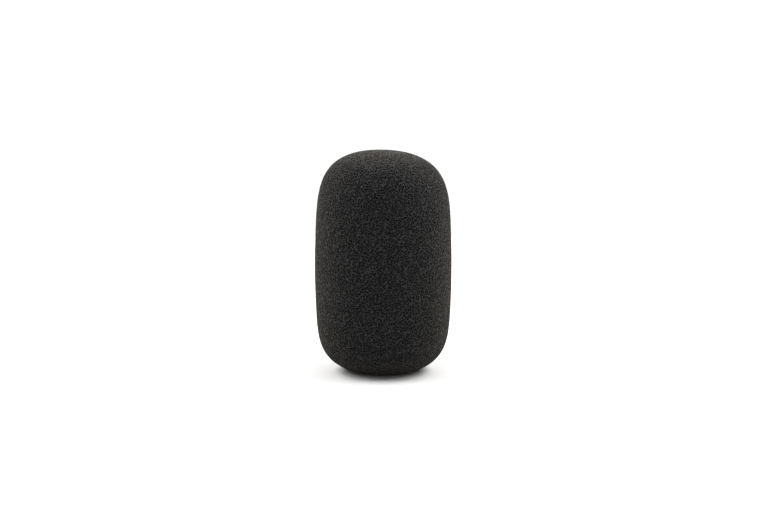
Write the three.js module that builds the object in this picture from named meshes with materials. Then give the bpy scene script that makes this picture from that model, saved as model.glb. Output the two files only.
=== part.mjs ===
// A foam windscreen for a studio microphone: a black open-cell foam barrel that is pulled over the
// microphone's head and grips its body. Millimetres, +Z up along the barrel's axis, with the origin
// at the middle of the flat ring that the barrel stands on.
//
// The pieces, from the outside in:
//   foam_body     the outer barrel, shaped from one block of open-cell foam, with a stepped bore
//   inner_sleeve  a tube of finer foam that lines the bore
//   crown_pad     a domed plug of the same fine foam at the blind end of the bore
//   mouth_collar  a moulded rubber collar, held in the foam by a flange at the foot of the bore
//   grip_ring     an elastic ring in the collar's groove, which grips the microphone's body

import * as THREE from 'three';

// ---- Driving dimensions --------------------------------------------------------------------

const BARREL_DIAMETER = 90;
const BARREL_HEIGHT = 146;
const WIDEST_HEIGHT = 67;          // height of the barrel's widest place

const BORE_RADIUS = 30;
const BORE_TOP = 124;              // height of the blind end where it meets the bore's side
const BORE_DOME = 4;               // rise of the blind end's shallow dome

const SLEEVE_WALL = 5;             // thickness of the fine foam liner
const PAD_THICKNESS = 8;           // at the pad's edge, above its plug
const PAD_PLUG = 4;                // the pad's middle fits this far down inside the sleeve

const MOUTH_RADIUS = 16;           // the clear hole in the collar
const COLLAR_WALL = 1.6;
const COLLAR_RECESS = 2;           // the collar starts this far above the floor
const COLLAR_HEIGHT = 14;
const COLLAR_LEAD_IN = 1;          // bevel that guides the microphone in
const FLANGE_THICKNESS = 2;
const GROOVE_HEIGHT = 5;           // groove inside the collar for the grip ring
const GROOVE_DEPTH = 1;

const RING_HEIGHT = 4;
const RING_PROUD = 1.2;            // how far the ring stands into the mouth

const CLEARANCE = 0.3;             // gap kept between pieces that touch
const BASE_RING_WIDTH = 2.6;       // width of the flat foam ring that the barrel stands on

const ROUND_STEPS = 48;            // facets round the axis
const OUTLINE_STEPS = 14;          // steps along each half of the barrel's outline
const DOME_STEPS = 5;
const RING_NOSE_STEPS = 6;

// ---- Sizes that follow from them -------------------------------------------------------------

const collarOuter = MOUTH_RADIUS + COLLAR_WALL;
const throatRadius = collarOuter + CLEARANCE;
const flangeTop = COLLAR_RECESS + COLLAR_HEIGHT;
const flangeBottom = flangeTop - FLANGE_THICKNESS;
const linerRadius = BORE_RADIUS - CLEARANCE;
const sleeveInner = linerRadius - SLEEVE_WALL;
const sleeveTop = BORE_TOP - PAD_THICKNESS - CLEARANCE;
const grooveMiddle = COLLAR_RECESS + (COLLAR_HEIGHT - FLANGE_THICKNESS) / 2;
const grooveRadius = MOUTH_RADIUS + GROOVE_DEPTH;

// The barrel's outline bows in slightly from its widest place and turns over in a soft corner.
// Each half is (1 - bow t^2)(1 - t^turn)^(1 / round), with t from 0 at the widest place to 1.
const CROWN = { bow: 0.083, turn: 6.5, round: 2.3, endRadius: 0 };
const FOOT = { bow: 0.083, turn: 7.9, round: 1.18, endRadius: throatRadius + BASE_RING_WIDTH };

// ---- Materials -----------------------------------------------------------------------------

function material(colour, roughness) {
  return new THREE.MeshStandardMaterial({ color: new THREE.Color(...colour), roughness, metalness: 0 });
}

const coarseFoam = material([0.035, 0.034, 0.033], 1.0);
const fineFoam = material([0.022, 0.022, 0.023], 1.0);
const rubber = material([0.016, 0.016, 0.017], 0.62);
const elastic = material([0.028, 0.028, 0.030], 0.55);

// ---- Profiles: lists of [radius, height] ----------------------------------------------------

function barrelRadius(t, half) {
  const side = (BARREL_DIAMETER / 2) * (1 - half.bow * t * t);
  return half.endRadius + (side - half.endRadius) * (1 - t ** half.turn) ** (1 / half.round);
}

// The steps crowd towards t = 1, where the outline turns.
function halfOutline(half, heightAt) {
  const points = [];
  for (let i = 0; i <= OUTLINE_STEPS; i += 1) {
    const t = Math.sin((i / OUTLINE_STEPS) * (Math.PI / 2));
    points.push([barrelRadius(t, half), heightAt(t)]);
  }
  return points;
}

// From the base ring's outer edge up to the top of the crown.
function barrelOutline() {
  const foot = halfOutline(FOOT, (t) => WIDEST_HEIGHT * (1 - t));
  const crown = halfOutline(CROWN, (t) => WIDEST_HEIGHT + (BARREL_HEIGHT - WIDEST_HEIGHT) * t);
  return [...foot.reverse(), ...crown.slice(1)];
}

// A shallow dome, from its edge at (radius, height) to the axis.
function dome(radius, height, rise) {
  const points = [];
  for (let i = 0; i <= DOME_STEPS; i += 1) {
    const r = radius * (1 - i / DOME_STEPS);
    points.push([r, height + rise * (1 - (r / radius) ** 2)]);
  }
  return points;
}

// ---- Pieces ----------------------------------------------------------------------------------

// A piece turned about the axis, from a profile that runs anticlockwise round its section.
function turned(name, profile, look) {
  const points = profile.map(([radius, height]) => new THREE.Vector2(radius, height));
  const geometry = new THREE.LatheGeometry(points, ROUND_STEPS);
  geometry.rotateX(Math.PI / 2);
  const mesh = new THREE.Mesh(geometry, look);
  mesh.name = name;
  return mesh;
}

// The outline up to the crown, then down the bore and its step to the mouth.
function foamBody() {
  const step = flangeBottom - CLEARANCE;
  return turned('foam_body', [
    [throatRadius, 0],
    ...barrelOutline(),
    ...dome(BORE_RADIUS, BORE_TOP, BORE_DOME).reverse(),
    [BORE_RADIUS, step],
    [throatRadius, step],
    [throatRadius, 0],
  ], coarseFoam);
}

// The liner stands on the collar's flange and reaches up to the crown pad.
function innerSleeve() {
  const bottom = flangeTop + CLEARANCE;
  return turned('inner_sleeve', [
    [sleeveInner, bottom],
    [linerRadius, bottom],
    [linerRadius, sleeveTop],
    [sleeveInner, sleeveTop],
    [sleeveInner, bottom],
  ], fineFoam);
}

// The pad sits on the liner, with a plug inside it whose flat end stops the microphone's head.
function crownPad() {
  const plugRadius = sleeveInner - CLEARANCE;
  const shoulder = sleeveTop + CLEARANCE;
  return turned('crown_pad', [
    [0, shoulder - PAD_PLUG],
    [plugRadius, shoulder - PAD_PLUG],
    [plugRadius, shoulder],
    [linerRadius, shoulder],
    ...dome(linerRadius, BORE_TOP - CLEARANCE, BORE_DOME),
  ], fineFoam);
}

function mouthCollar() {
  return turned('mouth_collar', [
    [MOUTH_RADIUS + COLLAR_LEAD_IN, COLLAR_RECESS],
    [collarOuter, COLLAR_RECESS],
    [collarOuter, flangeBottom],
    [linerRadius, flangeBottom],
    [linerRadius, flangeTop],
    [MOUTH_RADIUS, flangeTop],
    [MOUTH_RADIUS, grooveMiddle + GROOVE_HEIGHT / 2],
    [grooveRadius, grooveMiddle + GROOVE_HEIGHT / 2],
    [grooveRadius, grooveMiddle - GROOVE_HEIGHT / 2],
    [MOUTH_RADIUS, grooveMiddle - GROOVE_HEIGHT / 2],
    [MOUTH_RADIUS, COLLAR_RECESS + COLLAR_LEAD_IN],
    [MOUTH_RADIUS + COLLAR_LEAD_IN, COLLAR_RECESS],
  ], rubber);
}

// The ring's section is a rounded D, with its round side towards the microphone.
function gripRing() {
  const back = grooveRadius - CLEARANCE;
  const reach = back - (MOUTH_RADIUS - RING_PROUD);
  const nose = [];
  for (let i = 0; i <= RING_NOSE_STEPS; i += 1) {
    const angle = (i / RING_NOSE_STEPS) * Math.PI;
    const height = grooveMiddle + (RING_HEIGHT / 2) * Math.cos(angle);
    nose.push([back - reach * Math.sin(angle), height]);
  }
  return turned('grip_ring', [...nose, nose[0]], elastic);
}

const windscreen = new THREE.Group();
windscreen.add(foamBody(), innerSleeve(), crownPad(), mouthCollar(), gripRing());

export default windscreen;
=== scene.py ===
"""A foam windscreen for a studio microphone, standing on its mouth on a white table.

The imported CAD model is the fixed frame. The foam pieces are rebuilt here as fine skins with open
cells, and the rubber collar and its grip ring as moulded pieces with rounded edges.
"""
import math

import bpy
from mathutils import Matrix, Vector, noise


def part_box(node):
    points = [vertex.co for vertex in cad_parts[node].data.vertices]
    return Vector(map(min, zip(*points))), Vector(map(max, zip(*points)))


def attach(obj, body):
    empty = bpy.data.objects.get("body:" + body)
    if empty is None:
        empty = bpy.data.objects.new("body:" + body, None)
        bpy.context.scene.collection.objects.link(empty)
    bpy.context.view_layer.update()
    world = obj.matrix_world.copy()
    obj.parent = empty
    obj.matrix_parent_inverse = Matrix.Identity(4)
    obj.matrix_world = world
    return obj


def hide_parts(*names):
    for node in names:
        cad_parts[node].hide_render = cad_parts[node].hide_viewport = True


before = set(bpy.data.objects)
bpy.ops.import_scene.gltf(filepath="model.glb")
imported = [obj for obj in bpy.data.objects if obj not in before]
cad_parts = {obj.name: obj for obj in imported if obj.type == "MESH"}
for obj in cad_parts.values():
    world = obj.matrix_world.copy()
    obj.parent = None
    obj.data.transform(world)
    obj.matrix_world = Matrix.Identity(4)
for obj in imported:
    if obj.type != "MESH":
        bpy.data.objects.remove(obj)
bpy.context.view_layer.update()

MM = 0.001

# ---- Sizes, read off the CAD pieces --------------------------------------------------------------


def extent(node):
    """A turned node's radius, and its lowest and highest points."""
    low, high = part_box(node)
    return (high[0] - low[0]) / 2, low[2], high[2]


BARREL_RADIUS, _, BARREL_HEIGHT = extent("foam_body")
LINER_RADIUS, SLEEVE_LOW, SLEEVE_HIGH = extent("inner_sleeve")
_, PAD_LOW, PAD_HIGH = extent("crown_pad")
_, COLLAR_LOW, COLLAR_HIGH = extent("mouth_collar")
RING_RADIUS, RING_LOW, RING_HIGH = extent("grip_ring")

# What the boxes don't say keeps the CAD model's dimensions.
CLEARANCE = 0.3 * MM
SLEEVE_WALL = 5 * MM
BORE_DOME = 4 * MM
COLLAR_WALL = 1.6 * MM
COLLAR_LEAD_IN = 1 * MM
FLANGE_THICKNESS = 2 * MM
GROOVE_HEIGHT = 5 * MM
GROOVE_DEPTH = 1 * MM
RING_PROUD = 1.2 * MM
BASE_RING_WIDTH = 2.6 * MM
WIDEST = 67 / 146 * BARREL_HEIGHT    # height of the barrel's widest place

BORE = LINER_RADIUS + CLEARANCE
BORE_TOP = PAD_HIGH + CLEARANCE - BORE_DOME
MOUTH = RING_RADIUS + CLEARANCE - GROOVE_DEPTH
COLLAR_OUTER = MOUTH + COLLAR_WALL
THROAT = COLLAR_OUTER + CLEARANCE
FLANGE_LOW = COLLAR_HIGH - FLANGE_THICKNESS

# The barrel's outline, with the exponents of the CAD model.
CROWN = {"bow": 0.083, "turn": 6.5, "round": 2.3, "end": 0.0}
FOOT = {"bow": 0.083, "turn": 7.9, "round": 1.18, "end": THROAT + BASE_RING_WIDTH}


# ---- Profiles: lists of (radius, height) ---------------------------------------------------------

ON_AXIS = 1e-6                       # a point of a smaller radius lies on the axis
ROUNDED_SHARE = 0.45                 # of a side's length, so that two rounds never meet


def barrel_radius(t, half):
    side = BARREL_RADIUS * (1 - half["bow"] * t * t)
    return half["end"] + (side - half["end"]) * (1 - t ** half["turn"]) ** (1 / half["round"])


def half_outline(half, height_at, steps=400):
    points = []
    for i in range(steps + 1):
        t = math.sin(i / steps * math.pi / 2)
        points.append((barrel_radius(t, half), height_at(t)))
    return points


def barrel_outline():
    """From the base ring's outer edge up to the top of the crown."""
    foot = half_outline(FOOT, lambda t: WIDEST * (1 - t))
    crown = half_outline(CROWN, lambda t: WIDEST + (BARREL_HEIGHT - WIDEST) * t)
    return foot[::-1] + crown[1:]


def evenly(points, spacing):
    """The same path, with its points about spacing apart."""
    lengths = [0.0]
    for a, b in zip(points, points[1:]):
        lengths.append(lengths[-1] + math.dist(a, b))
    count = max(1, round(lengths[-1] / spacing))
    found, k = [], 0
    for i in range(count + 1):
        at = lengths[-1] * i / count
        while k < len(points) - 2 and lengths[k + 1] < at:
            k += 1
        span = lengths[k + 1] - lengths[k]
        f = (at - lengths[k]) / span if span else 0.0
        a, b = points[k], points[k + 1]
        found.append((a[0] + (b[0] - a[0]) * f, a[1] + (b[1] - a[1]) * f))
    return found


def dome(radius, height, rise, steps=12):
    """A shallow dome, from the axis out to its edge at (radius, height)."""
    return [
        (radius * i / steps, height + rise * (1 - (i / steps) ** 2)) for i in range(steps + 1)
    ]


def rounded(corners, radius, steps=5):
    """A closed profile with its corners rounded. Corners on the axis stay."""
    found = []
    count = len(corners)
    for i, corner in enumerate(corners):
        before, after = Vector(corners[i - 1]), Vector(corners[(i + 1) % count])
        here = Vector(corner)
        if here.x < ON_AXIS:
            found.append(tuple(here))
            continue
        back, on = before - here, after - here
        reach = min(radius, ROUNDED_SHARE * back.length, ROUNDED_SHARE * on.length)
        start, end = here + back.normalized() * reach, here + on.normalized() * reach
        for k in range(steps + 1):
            f = k / steps
            found.append(tuple(start * (1 - f) ** 2 + here * 2 * f * (1 - f) + end * f * f))
    return found


# ---- Turned skins --------------------------------------------------------------------------------

FEWEST_COLUMNS = 16
CLOSEST = 0.72                       # of the spacing: a ring with closer points has half as many


def columns_at(radius, spacing, most):
    columns = most
    while columns > FEWEST_COLUMNS and 2 * math.pi * radius / columns < spacing * CLOSEST:
        columns //= 2
    return columns


def turned(name, profile, spacing=0.0, most=192):
    """A closed skin turned about the axis. Where spacing is given, rings near the axis have fewer
    points, so that the faces stay about one size. A profile that neither starts nor ends on the
    axis is closed on itself."""
    verts, faces, rings = [], [], []
    for r, z in profile:
        if r < ON_AXIS:
            rings.append([len(verts)])
            verts.append((0.0, 0.0, z))
            continue
        n = columns_at(r, spacing, most)
        rings.append(list(range(len(verts), len(verts) + n)))
        for j in range(n):
            angle = 2 * math.pi * j / n
            verts.append((r * math.cos(angle), r * math.sin(angle), z))
    if profile[0][0] > ON_AXIS:
        rings.append(rings[0])
    for a, b in zip(rings, rings[1:]):
        faces += strip(a, b)
    mesh = bpy.data.meshes.new(name)
    mesh.from_pydata(verts, [], faces)
    mesh.validate()
    for polygon in mesh.polygons:
        polygon.use_smooth = True
    piece = bpy.data.objects.new(name, mesh)
    bpy.context.scene.collection.objects.link(piece)
    return piece


def strip(a, b):
    """The faces between two rings of points, whose counts are the same or differ by halving."""
    if len(a) < len(b):
        return [tuple(reversed(face)) for face in strip(b, a)]
    n, m = len(a), len(b)
    if m == 1:
        return [(a[j], a[(j + 1) % n], b[0]) for j in range(n)]
    if n == m:
        return [(a[j], a[(j + 1) % n], b[(j + 1) % n], b[j]) for j in range(n)]
    faces = []
    for j in range(m):
        here, middle, after = a[2 * j], a[2 * j + 1], a[(2 * j + 2) % n]
        faces.append((here, middle, b[j]))
        faces.append((middle, after, b[(j + 1) % m], b[j]))
    return faces


# ---- Node trees ----------------------------------------------------------------------------------


class Nodes:
    """Short ways to add and join nodes in a tree."""

    def __init__(self, tree):
        self.tree = tree

    def add(self, kind, inputs=None, **settings):
        node = self.tree.nodes.new(kind)
        for key, value in settings.items():
            setattr(node, key, value)
        for socket, value in (inputs or {}).items():
            if isinstance(value, bpy.types.NodeSocket):
                self.tree.links.new(value, node.inputs[socket])
            else:
                node.inputs[socket].default_value = value
        return node

    def link(self, out, into):
        self.tree.links.new(out, into)

    def ramp(self, value, start, end, low=0.0, high=1.0):
        """value's range start to end, mapped to low to high."""
        node = self.add(
            "ShaderNodeMapRange",
            {"Value": value, "From Min": start, "From Max": end, "To Min": low, "To Max": high},
        )
        return node.outputs["Result"]

    def maths(self, operation, a, b):
        return self.add("ShaderNodeMath", {0: a, 1: b}, operation=operation).outputs[0]


class Material(Nodes):
    """A new node material."""

    def __init__(self, name):
        self.material = bpy.data.materials.new(name)
        self.material.use_nodes = True
        super().__init__(self.material.node_tree)
        self.shader = self.tree.nodes["Principled BSDF"]
        self.where = self.add("ShaderNodeTexCoord").outputs["Object"]

    def finish(self, **sockets):
        for name, value in sockets.items():
            socket = self.shader.inputs[name.replace("_", " ")]
            if isinstance(value, bpy.types.NodeSocket):
                self.link(value, socket)
            else:
                socket.default_value = value
        return self.material

    def blend(self, factor, dark, light):
        node = self.add(
            "ShaderNodeMix", {0: factor, 6: (*dark, 1), 7: (*light, 1)}, data_type="RGBA"
        )
        return node.outputs[2]

    def bump(self, height, distance, strength):
        node = self.add(
            "ShaderNodeBump", {"Height": height, "Distance": distance, "Strength": strength}
        )
        return node.outputs["Normal"]

    def noise(self, scale, detail=2.0):
        node = self.add(
            "ShaderNodeTexNoise", {"Vector": self.where, "Scale": scale, "Detail": detail}
        )
        return node.outputs["Fac"]


# ---- Foam: the cells' pattern, for the barrel's relief and the foams' materials ------------------

HOLE_MIDDLE = 0.15                   # of a cell: the flat middle of its hole
HOLE_EDGE = 0.65                     # of a cell: where the hole's side meets the strut
LOWEST_CELL = 0.85                   # each cell is scaled by chance, between this and 1
STRUT_WIDTH = 0.3                    # of a cell, to where a strut has faded out


def voronoi(n, where, size, feature="F1"):
    return n.add(
        "ShaderNodeTexVoronoi", {"Vector": where, "Scale": 1 / size}, feature=feature
    )


def cell_field(n, where, cell):
    """0 in the middle of an open cell, up to 1 on the struts round it. The cells open to different
    depths, as the block was cut at random through them."""
    cells = voronoi(n, where, cell)
    hole = n.ramp(cells.outputs["Distance"], HOLE_MIDDLE, HOLE_EDGE)
    chance = n.add("ShaderNodeSeparateXYZ", {0: cells.outputs["Color"]}).outputs["X"]
    return n.maths("MULTIPLY", hole, n.ramp(chance, 0.0, 1.0, LOWEST_CELL, 1.0))


def strut_lines(n, where, cell):
    """1 on the struts between the same cells, falling to 0 towards the cells' middles."""
    edge = voronoi(n, where, cell, "DISTANCE_TO_EDGE").outputs["Distance"]
    return n.ramp(edge, 0.0, STRUT_WIDTH, 1.0, 0.0)


# ---- Foam body -----------------------------------------------------------------------------------

SKIN_SPACING = 0.5 * MM
SKIN_COLUMNS = 512
BORE_SPACING = 4 * MM
COARSE_CELL = 1.3 * MM
FINE_GRAIN = 0.5 * MM                # the finer pattern that breaks the struts up
RELIEF_DEPTH = 0.35 * MM
RELIEF_MIDDLE = 0.55                 # about the pattern's mean, so the skin keeps the CAD outline
RELIEF_FROM = 3 * MM                 # the base ring stays flat, and the cells deepen to this height
NEAR_BORE = 1 * MM                   # no relief this near to the bore
LEAN = 0.024                         # the crown's slope, down towards +X
LEAN_FROM = 95 * MM
SWELL = 0.15 * MM
SWELL_SPAN = 28 * MM
SWELL_FADE = 6 * MM                  # the swell fades out over this distance towards the bore


def smooth(x):
    x = min(max(x, 0.0), 1.0)
    return x * x * (3 - 2 * x)


def foam_body():
    """The barrel, with its stepped bore: in down the bore from its dome, and out over the base."""
    bore = dome(BORE, BORE_TOP, BORE_DOME)
    bore += evenly([(BORE, BORE_TOP), (BORE, FLANGE_LOW - CLEARANCE)], BORE_SPACING)[1:]
    bore += [(THROAT, FLANGE_LOW - CLEARANCE), (THROAT, 0.0)]
    outline = evenly(barrel_outline(), SKIN_SPACING)
    outline[-1] = (0.0, BARREL_HEIGHT)
    piece = turned("foam_barrel", bore + outline, SKIN_SPACING, SKIN_COLUMNS)
    soften(piece)
    cut_cells(piece)
    return piece


def radius_of(v):
    return Vector((v.co.x, v.co.y)).length


def soften(piece):
    """The slight unevenness of a soft piece: the outside swells and its crown leans a little."""
    for v in piece.data.vertices:
        outside = smooth((radius_of(v) - BORE) / SWELL_FADE) * smooth(v.co.z / RELIEF_FROM)
        swell = SWELL * noise.noise(v.co / SWELL_SPAN) * outside
        v.co.xy *= 1 + swell / BARREL_RADIUS
        lean = smooth((v.co.z - LEAN_FROM) / (BARREL_HEIGHT - LEAN_FROM))
        v.co.z -= LEAN * v.co.x * lean


def skin_share(v):
    """1 on the barrel's outside, 0 in its bore and on the base ring."""
    radius = radius_of(v)
    below_dome = v.co.z < BORE_TOP + BORE_DOME + NEAR_BORE
    in_bore = radius < BORE + NEAR_BORE and radius < THROAT + 2 * NEAR_BORE + v.co.z
    if in_bore and below_dome:
        return 0.0
    return smooth(v.co.z / RELIEF_FROM)


def cut_cells(piece):
    """Sinks the foam's open cells into the outside of the mesh, and raises its struts."""
    share = piece.data.attributes.new("skin_share", "FLOAT", "POINT")
    for v in piece.data.vertices:
        share.data[v.index].value = skin_share(v)
    tree = bpy.data.node_groups.new("foam_relief", "GeometryNodeTree")
    tree.interface.new_socket("Geometry", in_out="INPUT", socket_type="NodeSocketGeometry")
    tree.interface.new_socket("Geometry", in_out="OUTPUT", socket_type="NodeSocketGeometry")
    n = Nodes(tree)
    where = n.add("GeometryNodeInputPosition").outputs[0]
    depth = n.maths("SUBTRACT", cell_field(n, where, COARSE_CELL), RELIEF_MIDDLE)
    on_skin = n.add("GeometryNodeInputNamedAttribute", {"Name": "skin_share"}).outputs[0]
    depth = n.maths("MULTIPLY", depth, on_skin)
    depth = n.maths("MULTIPLY", depth, RELIEF_DEPTH)
    normal = n.add("GeometryNodeInputNormal").outputs[0]
    offset = n.add("ShaderNodeVectorMath", {0: normal, "Scale": depth}, operation="SCALE")
    start = n.add("NodeGroupInput").outputs[0]
    sunk = n.add(
        "GeometryNodeSetPosition", {"Geometry": start, "Offset": offset.outputs[0]}
    ).outputs[0]
    n.link(sunk, n.add("NodeGroupOutput").inputs[0])
    modifier = piece.modifiers.new("relief", "NODES")
    modifier.node_group = tree
    shaped = piece.evaluated_get(bpy.context.evaluated_depsgraph_get())
    mesh = bpy.data.meshes.new_from_object(shaped)
    piece.modifiers.clear()
    piece.data = mesh
    mesh.name = piece.name
    mesh.attributes.remove(mesh.attributes["skin_share"])


# ---- The pieces inside ---------------------------------------------------------------------------

FOAM_EDGE = 0.8 * MM                 # the radius of each piece's rounded edges
RUBBER_EDGE = 0.35 * MM
RING_EDGE = 0.3 * MM
RING_COLUMNS = 256


def inner_sleeve():
    inner = LINER_RADIUS - SLEEVE_WALL
    corners = [
        (inner, SLEEVE_LOW),
        (LINER_RADIUS, SLEEVE_LOW),
        (LINER_RADIUS, SLEEVE_HIGH),
        (inner, SLEEVE_HIGH),
    ]
    return turned("fine_foam_sleeve", rounded(corners, FOAM_EDGE))


def crown_pad():
    plug = LINER_RADIUS - SLEEVE_WALL - CLEARANCE
    shoulder = SLEEVE_HIGH + CLEARANCE
    edge = PAD_HIGH - BORE_DOME
    corners = [
        (0.0, PAD_LOW),
        (plug, PAD_LOW),
        (plug, shoulder),
        (LINER_RADIUS, shoulder),
        (LINER_RADIUS, edge),
        (0.0, edge),
    ]
    sides = rounded(corners, FOAM_EDGE)[:-1]
    top = dome(LINER_RADIUS - FOAM_EDGE, edge, BORE_DOME)[::-1]
    return turned("fine_foam_crown_pad", sides + top[1:])


def mouth_collar():
    middle = (RING_LOW + RING_HIGH) / 2
    groove = MOUTH + GROOVE_DEPTH
    corners = [
        (MOUTH + COLLAR_LEAD_IN, COLLAR_LOW),
        (COLLAR_OUTER, COLLAR_LOW),
        (COLLAR_OUTER, FLANGE_LOW),
        (LINER_RADIUS, FLANGE_LOW),
        (LINER_RADIUS, COLLAR_HIGH),
        (MOUTH, COLLAR_HIGH),
        (MOUTH, middle + GROOVE_HEIGHT / 2),
        (groove, middle + GROOVE_HEIGHT / 2),
        (groove, middle - GROOVE_HEIGHT / 2),
        (MOUTH, middle - GROOVE_HEIGHT / 2),
        (MOUTH, COLLAR_LOW + COLLAR_LEAD_IN),
    ]
    return turned("moulded_collar", rounded(corners, RUBBER_EDGE))


def grip_ring(steps=24):
    """A rounded D in section, with its round side towards the microphone."""
    middle = (RING_LOW + RING_HIGH) / 2
    half = (RING_HIGH - RING_LOW) / 2
    flat = RING_RADIUS - RING_EDGE
    reach = flat - (MOUTH - RING_PROUD)
    nose = []
    for i in range(steps + 1):
        angle = i / steps * math.pi
        nose.append((flat - reach * math.sin(angle), middle + half * math.cos(angle)))
    back = [(RING_RADIUS, middle - half + RING_EDGE), (RING_RADIUS, middle + half - RING_EDGE)]
    return turned("elastic_grip_ring", nose + back, most=RING_COLUMNS)


# ---- Materials -----------------------------------------------------------------------------------

FINE_CELL = 0.7 * MM


def coarse_foam():
    """Struts painted lighter round cells painted dark as the shade in their holes, with a warm
    sheen that comes up at the rims.
    """
    n = Material("coarse_foam")
    field = cell_field(n, n.where, COARSE_CELL)
    lines = n.maths("MULTIPLY", field, strut_lines(n, n.where, COARSE_CELL))
    grain = n.ramp(voronoi(n, n.where, FINE_GRAIN).outputs["Distance"], 0.1, 0.75, 0.1, 1.5)
    struts_and_pore_shade = n.maths("MULTIPLY", lines, grain)
    return n.finish(
        # The dark of the cells' holes is painted shade. The struts are lighter, broken up by the
        # fine grain.
        Base_Color=n.blend(struts_and_pore_shade, (0.0004, 0.0004, 0.0004), (0.0392, 0.0395, 0.0398)),
        Normal=n.bump(struts_and_pore_shade, distance=0.5 * MM, strength=0.6),
        Roughness=1.0,
        Specular_IOR_Level=0.05,
        Sheen_Weight=0.105,
        Sheen_Roughness=0.3,
        Sheen_Tint=(1.0, 0.85, 0.7, 1),
    )


def fine_foam():
    n = Material("fine_foam")
    field = cell_field(n, n.where, FINE_CELL)
    drift = n.ramp(n.noise(scale=150), 0.3, 0.7, 0.75, 1.2)
    struts_and_pore_shade = n.maths("MULTIPLY", field, drift)
    return n.finish(
        # The dark of the cells' holes is painted shade. The struts are lighter, with a slow drift
        # in tone.
        Base_Color=n.blend(struts_and_pore_shade, (0.002, 0.002, 0.002), (0.026, 0.026, 0.027)),
        Normal=n.bump(struts_and_pore_shade, distance=0.25 * MM, strength=0.5),
        Roughness=1.0,
        Specular_IOR_Level=0.1,
        Sheen_Weight=0.15,
        Sheen_Roughness=0.4,
    )


def collar_rubber():
    n = Material("collar_rubber")
    skin = n.noise(scale=2400, detail=3.0)
    bloom = n.noise(scale=70, detail=4.0)
    tone = n.ramp(bloom, 0.35, 0.75)
    return n.finish(
        Base_Color=n.blend(tone, (0.012, 0.012, 0.013), (0.026, 0.026, 0.027)),
        Roughness=n.ramp(bloom, 0.3, 0.7, 0.5, 0.72),
        Normal=n.bump(skin, distance=0.08 * MM, strength=0.35),
    )


def ring_elastic():
    n = Material("ring_elastic")
    grain = n.noise(scale=1500, detail=2.0)
    wear = n.noise(scale=110, detail=3.0)
    tone = n.ramp(wear, 0.35, 0.7)
    return n.finish(
        Base_Color=n.blend(tone, (0.022, 0.022, 0.024), (0.040, 0.040, 0.042)),
        Roughness=n.ramp(wear, 0.3, 0.7, 0.42, 0.6),
        Normal=n.bump(grain, distance=0.05 * MM, strength=0.3),
    )


# ---- Stage, light and camera ---------------------------------------------------------------------

CAMERA_ELEVATION = math.radians(9)
CAMERA_DISTANCE = 1.3
SENSOR_WIDTH = 36.0
OBJECT_WIDTH_SHARE = 0.1775          # the barrel's width over the picture's width
AIM_RIGHT = 0.5 * MM
AIM_UP = 3.1 * MM

TABLE_WIDTH = 1.2
TABLE_TONE = 0.57                    # beside the object
FRONT_TONE = 0.95                    # the table's front gets less light, so it is made lighter
BACK_SHARE = 0.65                    # of the tone, as the light behind is close to the table's back
TONES_FROM = 0.07
TONES_TO = 0.5

ROOM_LIGHT = 0.516
BACKDROP = 1.06                      # the room looks white, but lights the foam less than it looks
WARM = (1.0, 0.98, 0.96)
SOFTBOX_AIM = (0, 0, 0.07)
LAMP_AIM = (0, 0, 0.05)


def floor():
    bpy.ops.mesh.primitive_plane_add(size=TABLE_WIDTH)
    plane = bpy.context.object
    plane.name = "floor"
    n = Material("white_table")
    back = n.add("ShaderNodeSeparateXYZ", {0: n.where}).outputs["Y"]
    in_front = n.ramp(back, -TONES_FROM, -TONES_TO, TABLE_TONE, FRONT_TONE)
    behind = n.ramp(back, TONES_FROM, TONES_TO, 1.0, BACK_SHARE)
    tone = n.maths("MULTIPLY", in_front, behind)
    plane.data.materials.append(n.finish(Base_Color=tone, Roughness=0.9, Specular_IOR_Level=0.0))


def area_light(name, location, size, power, aim, colour=(1, 1, 1)):
    """A softbox that the camera doesn't see. The power is in watts."""
    data = bpy.data.lights.new(name, "AREA")
    data.shape = "RECTANGLE"
    data.size, data.size_y = size
    data.energy = power
    data.color = colour
    lamp = bpy.data.objects.new(name, data)
    lamp.location = location
    lamp.rotation_euler = (Vector(aim) - Vector(location)).to_track_quat("-Z", "Y").to_euler()
    lamp.visible_camera = False
    bpy.context.scene.collection.objects.link(lamp)


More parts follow.
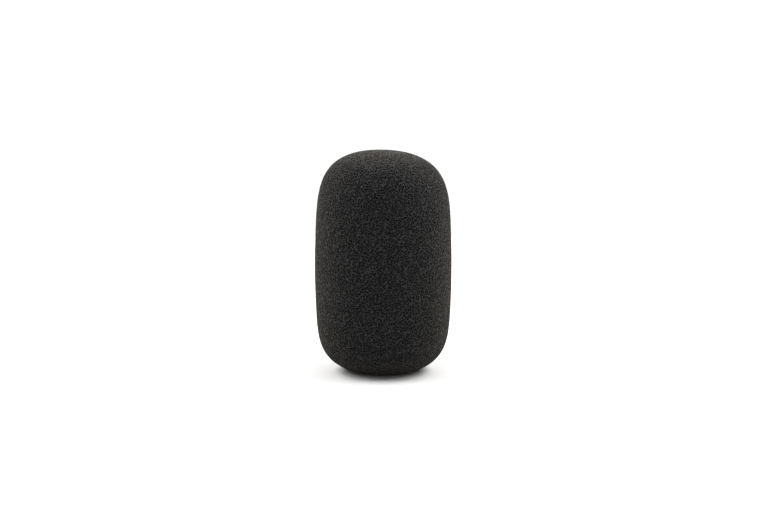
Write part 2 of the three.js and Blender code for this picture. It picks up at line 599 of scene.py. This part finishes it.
def room():
    world = bpy.data.worlds.new("white_room")
    world.use_nodes = True
    background = world.node_tree.nodes["Background"]
    background.inputs["Color"].default_value = (1, 1, 1, 1)
    n = Nodes(world.node_tree)
    seen = n.add("ShaderNodeLightPath").outputs["Is Camera Ray"]
    n.link(n.ramp(seen, 0.0, 1.0, ROOM_LIGHT, BACKDROP), background.inputs["Strength"])
    bpy.context.scene.world = world


def lights():
    """A small softbox above the crown, a wide low light behind, and a pair of softboxes behind the
    shoulders and another at the sides, which light the rims and soften the shadow. The right side
    gets a little more."""
    area_light("overhead", (0, -0.09, 0.35), (0.15, 0.12), 0.235, SOFTBOX_AIM)
    area_light("behind", (0, 0.9, 0.3), (1.0, 0.3), 11.8, LAMP_AIM)
    for side in (-1, 1):
        area_light("rim", (0.5 * side, 0.35, 0.6), (0.4, 0.4), 5.6, LAMP_AIM, WARM)
        area_light("side", (0.6 * side, 0, 0.62), (0.5, 0.5), 5.3 + 0.4 * side, LAMP_AIM)


def camera():
    data = bpy.data.cameras.new("camera")
    data.sensor_width = SENSOR_WIDTH
    data.lens = SENSOR_WIDTH * OBJECT_WIDTH_SHARE * CAMERA_DISTANCE / (2 * BARREL_RADIUS)
    cam = bpy.data.objects.new("camera", data)
    aim = Vector((AIM_RIGHT, 0, BARREL_HEIGHT / 2 + AIM_UP))
    back = Vector((0, -math.cos(CAMERA_ELEVATION), math.sin(CAMERA_ELEVATION)))
    cam.location = aim + back * CAMERA_DISTANCE
    cam.rotation_euler = (-back).to_track_quat("-Z", "Y").to_euler()
    bpy.context.scene.collection.objects.link(cam)
    bpy.context.scene.camera = cam


# ---- Scene ---------------------------------------------------------------------------------------


def place(piece, node, look):
    piece.data.materials.append(look)
    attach(piece, "root")
    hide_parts(node)


floor()
room()
lights()
camera()
bpy.context.scene.view_settings.view_transform = "Standard"

barrel = foam_body()
sleeve = inner_sleeve()
pad = crown_pad()
fine = fine_foam()
place(barrel, "foam_body", coarse_foam())
place(sleeve, "inner_sleeve", fine)
place(pad, "crown_pad", fine)
place(mouth_collar(), "mouth_collar", collar_rubber())
place(grip_ring(), "grip_ring", ring_elastic())
